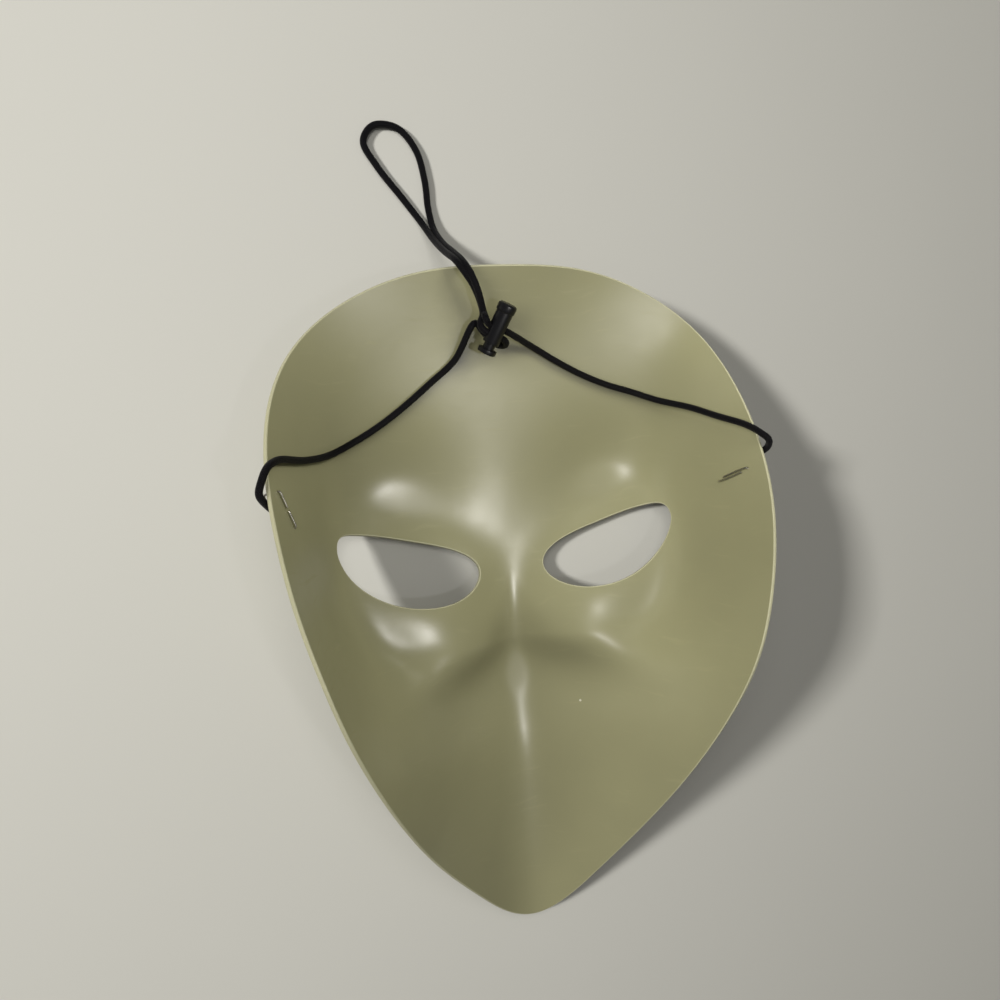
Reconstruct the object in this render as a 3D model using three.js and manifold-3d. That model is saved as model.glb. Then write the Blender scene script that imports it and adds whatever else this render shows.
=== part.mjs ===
// A full-face theatre mask of thin moulded plastic, lying on its face with the hollow side up.
// A round elastic is stapled to both temples and is drawn up by a cord lock into a loop.
// Millimetres, +Z up, +Y towards the forehead. The mask lies on its brows and nose tip at z = 0.
import * as THREE from "three";
import { mergeVertices } from "three/addons/utils/BufferGeometryUtils.js";
import Module from "manifold-3d";

const wasm = await Module();
wasm.setup();

// Driving dimensions. The face is laid out about the middle of the eye line.
const EYE_LINE_Y = 16.25; // from the middle of the mask's length
const THICKNESS = 1.4;
const LEAN = 0.061; // how far everything leans towards the forehead as it rises

// The rim, by bearing from the forehead (0) round to the chin (180): its distance out, its height,
// where along that distance the wall bends up, and how softly.
const RIM = [
  { bearing: 0, reach: 107, height: 25, bend: 0.76, soft: 0.08 },
  { bearing: 15, reach: 109.5, height: 23, bend: 0.77, soft: 0.08 },
  { bearing: 30, reach: 111.5, height: 21.5, bend: 0.79, soft: 0.065 },
  { bearing: 45, reach: 109, height: 26, bend: 0.79, soft: 0.05 },
  { bearing: 60, reach: 98.5, height: 38, bend: 0.78, soft: 0.045 },
  { bearing: 75, reach: 87.5, height: 50, bend: 0.79, soft: 0.04 },
  { bearing: 90, reach: 81, height: 56, bend: 0.84, soft: 0.04 },
  { bearing: 105, reach: 78.5, height: 59, bend: 0.84, soft: 0.045 },
  { bearing: 120, reach: 80.5, height: 58, bend: 0.76, soft: 0.06 },
  { bearing: 135, reach: 87, height: 51, bend: 0.58, soft: 0.09 },
  { bearing: 150, reach: 99.5, height: 38.5, bend: 0.42, soft: 0.11 },
  { bearing: 160, reach: 112, height: 27, bend: 0.34, soft: 0.12 },
  { bearing: 170, reach: 128, height: 15, bend: 0.3, soft: 0.12 },
  { bearing: 180, reach: 142, height: 6, bend: 0.3, soft: 0.12 },
];

// Height of the inner surface along the middle, from chin to forehead.
const PROFILE = [
  { y: -142, z: 6 },
  { y: -100, z: 4 },
  { y: -66, z: 1.4 },
  { y: -42, z: -2.6 },
  { y: -20, z: 1.2 },
  { y: 0, z: 2.6 },
  { y: 25, z: 4 },
  { y: 55, z: 8.2 },
  { y: 95, z: 12 },
];

const FOREHEAD = { from: -20, over: 50, dish: 0.0009 }; // it rises away from the middle line
const BROW = { x: 46, y: 30, depth: 6.1, spread: 26 }; // the two low bosses it lies on
const SOCKET = { x: 41, z: 14, outward: 0.22, down: 0.72 }; // the slope of the eye sockets
const CHEEK = { z: 18.5, rise: 0.3, turn: 16 }; // cheekbone crease and the slope inside it
const CREASE_TEMPLE = { x: 71, y: 3, nx: -0.885, ny: 0.465 };
const CREASE_JAW = { x: 44, y: -31, nx: -0.534, ny: 0.845 };
const NOSE = { slope: 1.15, radius: 3, lift: -1, from: -28, over: 30 };
const MUZZLE = { slope: 0.55, radius: 30 };
const BLEND = { socket: 9, brow: 3.5, middle: 5 };
const WALL_START = 0.25; // share of the reach over which the wall sets in, from the middle
const FOOT = { z: 1, blend: 0.5 }; // the inside stays above this where the outside rests
const SETTLE = 0.02; // worn off where it rests, so that each of its three feet is flat

// The eye hole on the +X side, as cubic arcs round from the inner corner, in a plane of its own.
const EYE_PLANE = { x: 41, z: 14.6, outward: 0.22, down: 0.72 };
const EYE_START = [12.3, 0];
const EYE_ARCS = [
  [12.3, 4.5, 22, 8.3, 34, 11.8],
  [44, 14.7, 52, 17.2, 59.5, 17.3],
  [63.5, 17.3, 65.8, 15.5, 65.4, 11.5],
  [64.3, 5, 48, -8.6, 29, -8.6],
  [20, -8.6, 12.3, -4.2, 12.3, 0],
];

const EYE_CUT = 12; // how far the cut reaches each way off that plane

const CORD_RADIUS = 1.2;
const GAP = 0.35;
const COLUMNS = 90;
const RINGS = 18;

// Staples: a 13 mm crown outside over the cord, the legs folded flat inside.
const STAPLE = { wire: 0.34, crown: 13, corner: 0.8 };
const STAPLE_RIGHT = { x: 79.3, y: 26.8, heading: 0, leg: 10, apart: 0.58 };
const STAPLE_LEFT = { x: -81.3, y: 29.6, heading: -46, leg: 5.6, apart: 0 };

// The cord lock. Its own x is the way the cords go through it, y its axis and z up off the mask.
const LOCK = {
  hole: [-5.3, 84.5, 24.3],
  through: new THREE.Vector3(0.95, -0.3, -0.1),
  axis: new THREE.Vector3(0.405, 0.855, 0.381),
  radius: 3.05,
  headRadius: 3.4,
  headFrom: 7.6,
  closedEnd: 10.4,
  openEnd: -4.4,
  bore: 2.4,
  boreEnd: 7,
  stem: 2.1,
  stemEnd: 3.4,
  button: 3.4,
  buttonTop: -6.6,
  buttonEnd: -8.3,
  slotHalfWidth: 3.0,
  slotHalfHeight: 1.55,
  strand: 1.42,
};

// A smooth curve through stations that is level at both ends: a clamped cubic spline.
function clampedSpline(xs, ys) {
  const last = xs.length - 1;
  const slopes = new Array(last + 1).fill(0);
  const upper = new Array(last + 1).fill(0);
  for (let i = 1; i < last; i++) {
    const before = 1 / (xs[i] - xs[i - 1]);
    const after = 1 / (xs[i + 1] - xs[i]);
    const wanted =
      3 * ((ys[i] - ys[i - 1]) * before * before + (ys[i + 1] - ys[i]) * after * after);
    const pivot = 2 * (before + after) - before * upper[i - 1];
    upper[i] = after / pivot;
    slopes[i] = (wanted - before * slopes[i - 1]) / pivot;
  }
  for (let i = last - 1; i > 0; i--) slopes[i] -= upper[i] * slopes[i + 1];
  return (x) => {
    const at = Math.min(Math.max(x, xs[0]), xs[last]);
    let i = 0;
    while (i < last - 1 && at > xs[i + 1]) i++;
    const span = xs[i + 1] - xs[i];
    const t = (at - xs[i]) / span;
    const rest = 1 - t;
    return (
      rest * rest * (1 + 2 * t) * ys[i] +
      t * t * (3 - 2 * t) * ys[i + 1] +
      span * t * rest * (rest * slopes[i] - t * slopes[i + 1])
    );
  };
}

const bearings = RIM.map((station) => THREE.MathUtils.degToRad(station.bearing));
const rimCurve = (key) => clampedSpline(bearings, RIM.map((station) => station[key]));
const rimReach = rimCurve("reach");
const rimHeight = rimCurve("height");
const bendAt = rimCurve("bend");
const softAt = rimCurve("soft");
const middleHeight = clampedSpline(
  PROFILE.map((station) => station.y),
  PROFILE.map((station) => station.z),
);

const smoothMax = (a, b, k) => Math.max(a, b) + k * Math.log1p(Math.exp(-Math.abs(a - b) / k));
const smoothMin = (a, b, k) => -smoothMax(-a, -b, k);
const softRamp = (t) => (t > 30 ? t : Math.log1p(Math.exp(t)));
const beyond = (line, side, y) => line.nx * (side - line.x) + line.ny * (y - line.y);

// Height of the inner surface at a point of the face.
function innerHeight(x, y) {
  const bearing = Math.atan2(Math.abs(x), y);
  const side = Math.hypot(x, BLEND.middle);
  const middle = middleHeight(y);
  const risen = THREE.MathUtils.smoothstep(y - FOREHEAD.from, 0, FOREHEAD.over);
  const boss = Math.exp(
    -(((side - BROW.x) / BROW.spread) ** 2 + ((y - BROW.y) / BROW.spread) ** 2),
  );
  const floor = middle + FOREHEAD.dish * side * side * risen - BROW.depth * boss;

  const inside = smoothMin(
    beyond(CREASE_TEMPLE, side, y),
    beyond(CREASE_JAW, side, y),
    CHEEK.turn,
  );
  const cheek = CHEEK.z + CHEEK.rise * inside;
  const socket = SOCKET.z + SOCKET.outward * (side - SOCKET.x) - SOCKET.down * y;
  const muzzle = THREE.MathUtils.smoothstep(NOSE.from - y, 0, NOSE.over);
  const slope = THREE.MathUtils.lerp(NOSE.slope, MUZZLE.slope, muzzle);
  const radius = THREE.MathUtils.lerp(NOSE.radius, MUZZLE.radius, muzzle);
  const flank = middle + NOSE.lift + slope * (Math.hypot(side, radius) - radius);
  const raised = smoothMin(smoothMin(cheek, socket, BLEND.socket), flank, BLEND.socket);
  const relief = smoothMax(floor, raised, BLEND.brow);

  const along = Math.hypot(x, y) / rimReach(bearing);
  const bend = bendAt(bearing);
  const soft = softAt(bearing);
  const setIn = THREE.MathUtils.smoothstep(along, 0, WALL_START);
  const wall = (setIn * softRamp((along - bend) / soft)) / softRamp((1 - bend) / soft);
  return smoothMax(relief + (rimHeight(bearing) - relief) * wall, FOOT.z, FOOT.blend);
}

// A place in the face, leaned with the rest of it.
const point = (x, y, z) => new THREE.Vector3(x, y + LEAN * z, z);

// A point a distance off the inner surface: above it towards the wearer, or below it if negative.
function offSurface(x, y, distance) {
  const step = 0.05;
  const dx = (innerHeight(x + step, y) - innerHeight(x - step, y)) / (2 * step);
  const dy = (innerHeight(x, y + step) - innerHeight(x, y - step)) / (2 * step);
  const normal = new THREE.Vector3(-dx, -dy, 1 + LEAN * dy).normalize();
  return point(x, y, innerHeight(x, y)).addScaledVector(normal, distance);
}

function solidOf(geometry) {
  const bare = geometry.index ? geometry.toNonIndexed() : geometry.clone();
  for (const name of Object.keys(bare.attributes)) {
    if (name !== "position") bare.deleteAttribute(name);
  }
  const merged = mergeVertices(bare, 1e-4);
  const mesh = new wasm.Mesh({
    numProp: 3,
    vertProperties: merged.attributes.position.array,
    triVerts: new Uint32Array(merged.index.array),
  });
  return new wasm.Manifold(mesh);
}

function geometryOf(solid) {
  const mesh = solid.getMesh();
  const geometry = new THREE.BufferGeometry();
  geometry.setAttribute("position", new THREE.BufferAttribute(mesh.vertProperties, 3));
  geometry.setIndex(new THREE.BufferAttribute(mesh.triVerts, 1));
  geometry.computeVertexNormals();
  return geometry;
}

// The two skins of the mask on a grid of bearings and rings, joined round the rim.
function shellGeometry() {
  const positions = [];
  const indices = [];
  const add = (place) => positions.push(place.x, place.y, place.z) / 3 - 1;
  const skin = (distance) => {
    const put = (x, y) => {
      const place = offSurface(x, y, distance);
      if (distance < 0) place.z = Math.max(place.z - SETTLE, 0);
      return add(place);
    };
    const centre = put(0, 0);
    const rings = [];
    for (let ring = 1; ring <= RINGS; ring++) {
      const row = [];
      for (let column = 0; column < COLUMNS; column++) {
        const bearing = (2 * Math.PI * column) / COLUMNS - Math.PI;
        const out = (rimReach(Math.abs(bearing)) * ring) / RINGS;
        row.push(put(out * Math.sin(bearing), out * Math.cos(bearing)));
      }
      rings.push(row);
    }
    return { centre, rings };
  };
  const quad = (a, b, c, d) => indices.push(a, b, c, a, c, d);
  const inner = skin(0);
  const outer = skin(-THICKNESS);
  for (let column = 0; column < COLUMNS; column++) {
    const next = (column + 1) % COLUMNS;
    indices.push(inner.centre, inner.rings[0][next], inner.rings[0][column]);
    indices.push(outer.centre, outer.rings[0][column], outer.rings[0][next]);
    for (let ring = 0; ring < RINGS - 1; ring++) {
      const [near, far] = [inner.rings[ring], inner.rings[ring + 1]];
      const [low, out] = [outer.rings[ring], outer.rings[ring + 1]];
      quad(near[column], near[next], far[next], far[column]);
      quad(low[column], out[column], out[next], low[next]);
    }
    const top = inner.rings[RINGS - 1];
    const under = outer.rings[RINGS - 1];
    quad(top[column], top[next], under[next], under[column]);
  }
  const geometry = new THREE.BufferGeometry();
  geometry.setAttribute("position", new THREE.Float32BufferAttribute(positions, 3));
  geometry.setIndex(indices);
  return geometry;
}

// A cutter of the eye hole on one side of the face, square to the plane of its socket.
function eyeCutter(side) {
  const outline = new THREE.Shape();
  outline.moveTo(side * EYE_START[0], EYE_START[1]);
  for (const [ax, ay, bx, by, x, y] of EYE_ARCS) {
    outline.bezierCurveTo(side * ax, ay, side * bx, by, side * x, y);
  }
  const cutter = new THREE.ExtrudeGeometry(outline, {
    depth: 2 * EYE_CUT,
    bevelEnabled: false,
    curveSegments: 7,
  });
  const { x, z, outward, down } = EYE_PLANE;
  const tilt = side * outward;
  const onto = new THREE.Matrix4();
  onto.set(1, 0, -tilt, 0, 0, 1, down, 0, tilt, -down, 1, z - outward * x, 0, 0, 0, 1);
  const lean = new THREE.Matrix4().makeShear(0, 0, 0, 0, 0, LEAN);
  return cutter.translate(0, 0, -EYE_CUT).applyMatrix4(onto).applyMatrix4(lean);
}

// A round section swept along a route, with its steps spaced as the route's own points are.
class SteppedRoute extends THREE.CatmullRomCurve3 {
  getPointAt(u, target) {
    return this.getPoint(u, target);
  }
  getTangentAt(u, target) {
    return this.getTangent(u, target);
  }
}

function tubeGeometry(route, radius, steps, sides) {
  const section = new THREE.Shape();
  for (let i = 0; i < sides; i++) {
    const angle = (2 * Math.PI * i) / sides;
    const [x, y] = [radius * Math.cos(angle), radius * Math.sin(angle)];
    if (i === 0) section.moveTo(x, y);
    else section.lineTo(x, y);
  }
  return new THREE.ExtrudeGeometry(section, { steps, bevelEnabled: false, extrudePath: route });
}

// A staple's middle on the inner surface, with its own directions: along the crown, across it
// and up off the wall.
function stapleFrame(place) {
  const heading = THREE.MathUtils.degToRad(place.heading);
  const level = new THREE.Vector3(Math.cos(heading), Math.sin(heading), 0);
  const middle = offSurface(place.x, place.y, 0);
  const up = offSurface(place.x, place.y, 1).sub(middle);
  const along = level.addScaledVector(up, -level.dot(up)).normalize();
  const across = new THREE.Vector3().crossVectors(up, along);
  return { middle, up, along, across };
}

// One staple as a bent wire: leg, bend, crown outside over the cord, bend, leg.
function stapleGeometry(place) {
  const { middle, up, along, across } = stapleFrame(place);
  const inside = STAPLE.wire + GAP;
  const outside = -(THICKNESS + 2 * CORD_RADIUS + 2 * GAP + STAPLE.wire);
  const half = STAPLE.crown / 2;
  const corner = STAPLE.corner;
  const at = (distance, height, shift) =>
    middle
      .clone()
      .addScaledVector(along, distance)
      .addScaledVector(up, height)
      .addScaledVector(across, shift);
  const shift = place.apart;
  const route = [
    at(-half + place.leg, inside, -shift),
    at(-half + place.leg / 2, inside, -shift),
    at(-half + corner, inside, -shift / 2),
    at(-half + corner * 0.3, inside - corner * 0.3, -shift / 4),
    at(-half, inside - corner, 0),
    at(-half, (inside + outside) / 2, 0),
    at(-half, outside + corner, 0),
    at(-half + corner * 0.3, outside + corner * 0.3, 0),
    at(-half + corner, outside, 0),
    at(0, outside, 0),
    at(half - corner, outside, 0),
    at(half - corner * 0.3, outside + corner * 0.3, 0),
    at(half, outside + corner, 0),
    at(half, (inside + outside) / 2, 0),
    at(half, inside - corner, 0),
    at(half - corner * 0.3, inside - corner * 0.3, shift / 4),
    at(half - corner, inside, shift / 2),
    at(half - place.leg / 2, inside, shift),
    at(half - place.leg, inside, shift),
  ];
  return tubeGeometry(new SteppedRoute(route), STAPLE.wire, route.length - 1, 6);
}

// The hole that one leg of a staple goes through the wall by.
function legHoleCutter(place, end) {
  const { middle, up, along } = stapleFrame(place);
  const centre = middle.clone().addScaledVector(along, (end * STAPLE.crown) / 2);
  const ends = [-2 * THICKNESS, THICKNESS].map((d) => centre.clone().addScaledVector(up, d));
  return tubeGeometry(new THREE.LineCurve3(...ends), STAPLE.wire + GAP, 1, 8);
}

// The cord lock's frame, and points and cuts in it.
const lockAxis = LOCK.axis.clone().normalize();
const lockUp = new THREE.Vector3().crossVectors(LOCK.through, lockAxis).normalize();
const lockThrough = new THREE.Vector3().crossVectors(lockAxis, lockUp);
const lockFrame = new THREE.Matrix4()
  .makeBasis(lockThrough, lockAxis, lockUp)
  .setPosition(point(...LOCK.hole));
const atLock = (x, y, z) => new THREE.Vector3(x, y, z).applyMatrix4(lockFrame);

function slotCutter() {
  const { slotHalfWidth: w, slotHalfHeight: h } = LOCK;
  const slot = new THREE.Shape();
  slot.moveTo(-w + h, -h);
  slot.lineTo(w - h, -h);
  slot.absarc(w - h, 0, h, -Math.PI / 2, Math.PI / 2);
  slot.lineTo(-w + h, h);
  slot.absarc(-w + h, 0, h, Math.PI / 2, (3 * Math.PI) / 2);
  const cutter = new THREE.ExtrudeGeometry(slot, { depth: 12, bevelEnabled: false });
  return cutter.translate(0, 0, -6).rotateZ(Math.PI / 2).rotateY(Math.PI / 2);
}

function turned(profile) {
  const points = profile.map(([r, y]) => new THREE.Vector2(r, y));
  return new THREE.LatheGeometry(points, 18);
}

const barrelProfile = [
  [0, LOCK.boreEnd],
  [LOCK.bore, LOCK.boreEnd],
  [LOCK.bore, LOCK.openEnd],
  [LOCK.radius - 0.2, LOCK.openEnd],
  [LOCK.radius, LOCK.openEnd + 0.2],
  [LOCK.radius, LOCK.headFrom - 0.3],
  [LOCK.headRadius, LOCK.headFrom],
  [LOCK.headRadius, LOCK.closedEnd - 1.2],
  [LOCK.headRadius - 0.35, LOCK.closedEnd - 0.35],
  [LOCK.headRadius - 1.2, LOCK.closedEnd],
  [0, LOCK.closedEnd],
];
const plungerProfile = [
  [0, LOCK.buttonEnd],
  [LOCK.button - 0.4, LOCK.buttonEnd],
  [LOCK.button, LOCK.buttonEnd + 0.4],
  [LOCK.button, LOCK.buttonTop],
  [LOCK.stem, LOCK.buttonTop],
  [LOCK.stem, LOCK.stemEnd],
  [0, LOCK.stemEnd],
];

// The cord, from its end under the left staple to its end under the right one.
const OUTSIDE = -(THICKNESS + CORD_RADIUS + GAP);
const RESTING = CORD_RADIUS + 0.6;
const TABLE = CORD_RADIUS + 0.1;
const on = (x, y) => offSurface(x, y, RESTING);
const cordRoute = [
  offSurface(-77.4, 28.6, OUTSIDE),
  offSurface(-81.3, 29.6, OUTSIDE),
  offSurface(-84.2, 32.2, OUTSIDE),
  point(-88.7, 35, 45.1),
  point(-87.6, 39, 45),
  point(-85.7, 42.8, 43.6),
  point(-82.6, 45, 39.4),
  on(-75, 45),
  on(-66, 47),
  on(-56.5, 51.2),
  on(-47, 56.2),
  on(-37.5, 62.4),
  on(-28, 69.6),
  on(-18.5, 77.4),
  atLock(-6.8, -0.8, -4.3),
  atLock(-3, -2.3, -4.65),
  atLock(0.8, -4.1, -4.75),
  atLock(4.2, -4.8, -4.4),
  atLock(6.2, -3.7, -2.8),
  atLock(5.3, -2.2, -0.8),
  atLock(2.9, -LOCK.strand, 0),
  atLock(-3.2, -LOCK.strand, 0),
  atLock(-5.9, -0.1, -0.8),
  point(-8.9, 91.4, 22.1),
  point(-12.2, 99.2, 25.8),
  point(-15.9, 104, 27.9),
  point(-18.3, 108, 26.8),
  point(-20, 113.6, 18.4),
  point(-21.4, 121, 8),
  point(-24, 129, TABLE + 0.3),
  point(-30.4, 137.9, TABLE),
  point(-38.4, 148.6, TABLE),
  point(-42.5, 157, TABLE),
  point(-38.5, 162.6, TABLE),
  point(-30, 162, TABLE),
  point(-23.8, 154.6, TABLE),
  point(-21.4, 144, TABLE),
  point(-20.9, 134, TABLE),
  point(-20, 126.2, TABLE + 2),
  point(-18.6, 119, 10.4),
  point(-17.2, 112.6, 20.2),
  point(-15.8, 107.6, 26.9),
  point(-14, 103.2, 28.8),
  point(-11.6, 97.6, 27.6),
  point(-9.3, 91, 24.6),
  atLock(-5.7, 3, 0.8),
  atLock(-3.5, LOCK.strand, 0),
  atLock(3, LOCK.strand, 0),
  atLock(7.2, 0.9, -1.2),
  on(11.5, 80.2),
  on(21, 74.8),
  on(31, 69.8),
  on(41, 65.8),
  on(51, 62.6),
  on(62, 58.4),
  on(72, 54.2),
  on(79, 49.2),
  point(82.8, 44.8, 39.8),
  point(85, 41.7, 44.5),
  point(87.9, 38.6, 45.8),
  point(88.9, 36, 43.6),
  offSurface(84, 34.2, OUTSIDE),
  offSurface(82.1, 31.4, OUTSIDE),
  offSurface(79.3, 26.8, OUTSIDE),
  offSurface(78.9, 19, OUTSIDE),
];

const group = new THREE.Group();
group.position.y = EYE_LINE_Y;

function addPiece(name, geometry, material) {
  const mesh = new THREE.Mesh(geometry, new THREE.MeshStandardMaterial(material));
  mesh.name = name;
  group.add(mesh);
  return mesh;
}

const PLASTIC = { color: 0x8f8b6b, roughness: 0.32, metalness: 0 };
const ELASTIC = { color: 0x121216, roughness: 0.85, metalness: 0 };
const LOCK_PLASTIC = { color: 0x1b1b1e, roughness: 0.45, metalness: 0 };
const STEEL = { color: 0xa9a79c, roughness: 0.35, metalness: 1 };

let shell = solidOf(shellGeometry());
for (const side of [-1, 1]) shell = shell.subtract(solidOf(eyeCutter(side)));
for (const place of [STAPLE_LEFT, STAPLE_RIGHT]) {
  for (const end of [-1, 1]) shell = shell.subtract(solidOf(legHoleCutter(place, end)));
}
addPiece("mask_shell", geometryOf(shell), PLASTIC);

addPiece("staple_left", stapleGeometry(STAPLE_LEFT), STEEL);
addPiece("staple_right", stapleGeometry(STAPLE_RIGHT), STEEL);

const slot = solidOf(slotCutter());
const barrel = solidOf(turned(barrelProfile)).subtract(slot);
const plunger = solidOf(turned(plungerProfile)).subtract(slot);
addPiece("cord_lock_barrel", geometryOf(barrel).applyMatrix4(lockFrame), LOCK_PLASTIC);
addPiece("cord_lock_plunger", geometryOf(plunger).applyMatrix4(lockFrame), LOCK_PLASTIC);

const route = new SteppedRoute(cordRoute, false, "centripetal");
addPiece("elastic_cord", tubeGeometry(route, CORD_RADIUS, cordRoute.length - 1, 8), ELASTIC);

export default group;
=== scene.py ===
"""A full-face theatre mask of thin moulded plastic, lying on its face on a pale table.

The hollow side is up. A round elastic is stapled to both temples, crosses the forehead and is
drawn up by a cord lock into a loop. Lengths are in metres, +Z is up and +Y is the forehead.
"""

import math

import bpy
import numpy as np
from mathutils import Euler, Matrix, Vector, kdtree
from mathutils.geometry import delaunay_2d_cdt


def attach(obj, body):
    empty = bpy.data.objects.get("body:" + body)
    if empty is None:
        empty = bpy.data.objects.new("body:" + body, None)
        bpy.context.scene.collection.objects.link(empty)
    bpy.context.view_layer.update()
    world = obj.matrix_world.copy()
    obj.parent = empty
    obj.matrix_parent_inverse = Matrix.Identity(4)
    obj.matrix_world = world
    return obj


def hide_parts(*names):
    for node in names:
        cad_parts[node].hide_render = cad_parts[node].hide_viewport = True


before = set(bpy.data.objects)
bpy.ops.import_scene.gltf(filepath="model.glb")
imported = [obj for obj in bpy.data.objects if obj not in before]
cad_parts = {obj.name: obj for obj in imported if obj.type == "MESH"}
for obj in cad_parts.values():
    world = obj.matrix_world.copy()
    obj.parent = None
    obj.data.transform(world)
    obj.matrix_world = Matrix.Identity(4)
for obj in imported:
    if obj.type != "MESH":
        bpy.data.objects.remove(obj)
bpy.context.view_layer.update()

bl_info = {
    "name": "Theatre mask",
    "version": (1, 0, 0),
    "blender": (4, 5, 0),
    "location": "View3D > Sidebar > Mask",
    "description": "Builds a theatre mask with its elastic, lock and staples, and a studio",
    "category": "Add Mesh",
}

# The face, laid out about the middle of the eye line, as the solids are.
EYE_LINE_Y = 0.01625
THICKNESS = 0.0014
LEAN = 0.061  # how far everything leans towards the forehead as it rises
SETTLE = 0.00002  # worn off where it rests
SLOPE_STEP = 0.00005  # over which the surface's slope is measured

# The rim by bearing from the forehead (0) round to the chin (180): its distance out, its height,
# where along that distance the wall bends up, and how softly.
RIM = [
    (0, 0.107, 0.025, 0.76, 0.08),
    (15, 0.1095, 0.023, 0.77, 0.08),
    (30, 0.1115, 0.0215, 0.79, 0.065),
    (45, 0.109, 0.026, 0.79, 0.05),
    (60, 0.0985, 0.038, 0.78, 0.045),
    (75, 0.0875, 0.05, 0.79, 0.04),
    (90, 0.081, 0.056, 0.84, 0.04),
    (105, 0.0785, 0.059, 0.84, 0.045),
    (120, 0.0805, 0.058, 0.76, 0.06),
    (135, 0.087, 0.051, 0.58, 0.09),
    (150, 0.0995, 0.0385, 0.42, 0.11),
    (160, 0.112, 0.027, 0.34, 0.12),
    (170, 0.128, 0.015, 0.3, 0.12),
    (180, 0.142, 0.006, 0.3, 0.12),
]

# Height of the inner surface along the middle, from chin to forehead.
PROFILE = [
    (-0.142, 0.006),
    (-0.1, 0.004),
    (-0.066, 0.0014),
    (-0.042, -0.0026),
    (-0.02, 0.0012),
    (0, 0.0026),
    (0.025, 0.004),
    (0.055, 0.0082),
    (0.095, 0.012),
]

FOREHEAD = {"start": -0.02, "over": 0.05, "dish": 0.9}  # it rises away from the middle line
BROW = {"x": 0.046, "y": 0.03, "depth": 0.0061, "spread": 0.026}
SOCKET = {"x": 0.041, "z": 0.014, "outward": 0.22, "down": 0.72}
CHEEK = {"z": 0.0185, "rise": 0.3, "turn": 0.016}
CREASE_TEMPLE = {"x": 0.071, "y": 0.003, "nx": -0.885, "ny": 0.465}
CREASE_JAW = {"x": 0.044, "y": -0.031, "nx": -0.534, "ny": 0.845}
NOSE = {"slope": 1.15, "radius": 0.003, "lift": -0.001, "start": -0.028, "over": 0.03}
MUZZLE = {"slope": 0.55, "radius": 0.03}
BLEND = {"socket": 0.009, "brow": 0.0035, "middle": 0.005}
WALL_START = 0.25  # share of the reach over which the wall sets in, from the middle
FOOT = {"z": 0.001, "blend": 0.0005}  # the inside stays above this where the outside rests

# The eye hole on the +X side, as cubic arcs round from the inner corner, in a plane of its own.
EYE_PLANE = {"x": 0.041, "z": 0.0146, "outward": 0.22, "down": 0.72}
EYE_START = (0.0123, 0)
EYE_ARCS = [
    ((0.0123, 0.0045), (0.022, 0.0083), (0.034, 0.0118)),
    ((0.044, 0.0147), (0.052, 0.0172), (0.0595, 0.0173)),
    ((0.0635, 0.0173), (0.0658, 0.0155), (0.0654, 0.0115)),
    ((0.0643, 0.005), (0.048, -0.0086), (0.029, -0.0086)),
    ((0.02, -0.0086), (0.0123, -0.0042), (0.0123, 0)),
]
EYE_CUT = 0.012  # how far the cut reaches off that plane

# The shell's fine mesh: the spacing of its points as shares of the mesh step, the ground its rows
# cover before they are trimmed, and how finely the outlines are worked out.
SPACING = {"rim": 0.9, "eye": 0.75, "beside_edge": 0.6}
ROWS_X = (-0.1, 0.1)
ROWS_Y = (-0.145, 0.115)
RIM_TURN = 0.25  # degrees
ARC_POINTS = 48
HALVINGS = 30  # of the cut's reach, to find where it meets the surface
LIP_TURNS = np.radians([22.5, 45, 67.5, 90])  # round one side of a trimmed edge

CORD_RADIUS = 0.0012
GAP = 0.00035  # between the shell, the cord and the wire
LIES_OFF = {"shell": 0.0006, "table": 0.0003}  # left under the cord where it lies

# How tubes are meshed: points between two of a route's own, the step after that, sides, and how
# far an end is drawn out, in radii.
CORD_MESH = {"per_span": 24, "step": 0.0006, "sides": 16, "drawn_out": 0.25}
WIRE_MESH = {"per_span": 8, "step": 0.00025, "sides": 12, "drawn_out": 1.6}
CAP_RINGS = 4
CAP_TIP = 0.02  # the last ring's share of the radius
SKEW = (0.3, 0.5, 0.8)  # a direction in which no tube starts

STAPLE = {"wire": 0.00034, "crown": 0.013, "corner": 0.0008, "bend": 0.3}
STAPLE_RIGHT = {"x": 0.0793, "y": 0.0268, "heading": 0, "leg": 0.01, "apart": 0.00058}
STAPLE_LEFT = {"x": -0.0813, "y": 0.0296, "heading": -46, "leg": 0.0056, "apart": 0}

# The cord lock. Its own x is the way the cords go through it, y its axis and z up off the mask.
LOCK_HOLE = (-0.0053, 0.0845, 0.0243)
LOCK_THROUGH = (0.95, -0.3, -0.1)
LOCK_AXIS = (0.405, 0.855, 0.381)
BARREL = {
    "radius": 0.00305,
    "head_radius": 0.0034,
    "head_from": 0.0076,
    "closed_end": 0.0104,
    "open_end": -0.0044,
    "bore": 0.0024,
    "bore_end": 0.007,
    "mouth": (0.00015, 0.0002),  # width and depth of the bevel inside the open end
    "lip": 0.00025,
    "shoulder": (-0.0004, -0.0001, 0.0002),  # heights of its points from where the head starts
    "shoulder_in": 0.00012,
    "crown": 0.0009,
}
PLUNGER = {
    "stem": 0.0021,
    "stem_end": 0.0034,
    "stem_bevel": 0.0001,
    "button": 0.0034,
    "button_top": -0.0066,
    "button_end": -0.0083,
    "edge": 0.0004,
}
SLOT = {"half_width": 0.003, "half_height": 0.00155, "reach": 0.006, "points": 17}
STRAND = 0.00142  # each strand's distance from the middle of the lock's hole
LATHE_SIDES = 48
SHARP = math.radians(35)  # edges that turn more than this stay sharp on the lock

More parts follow.
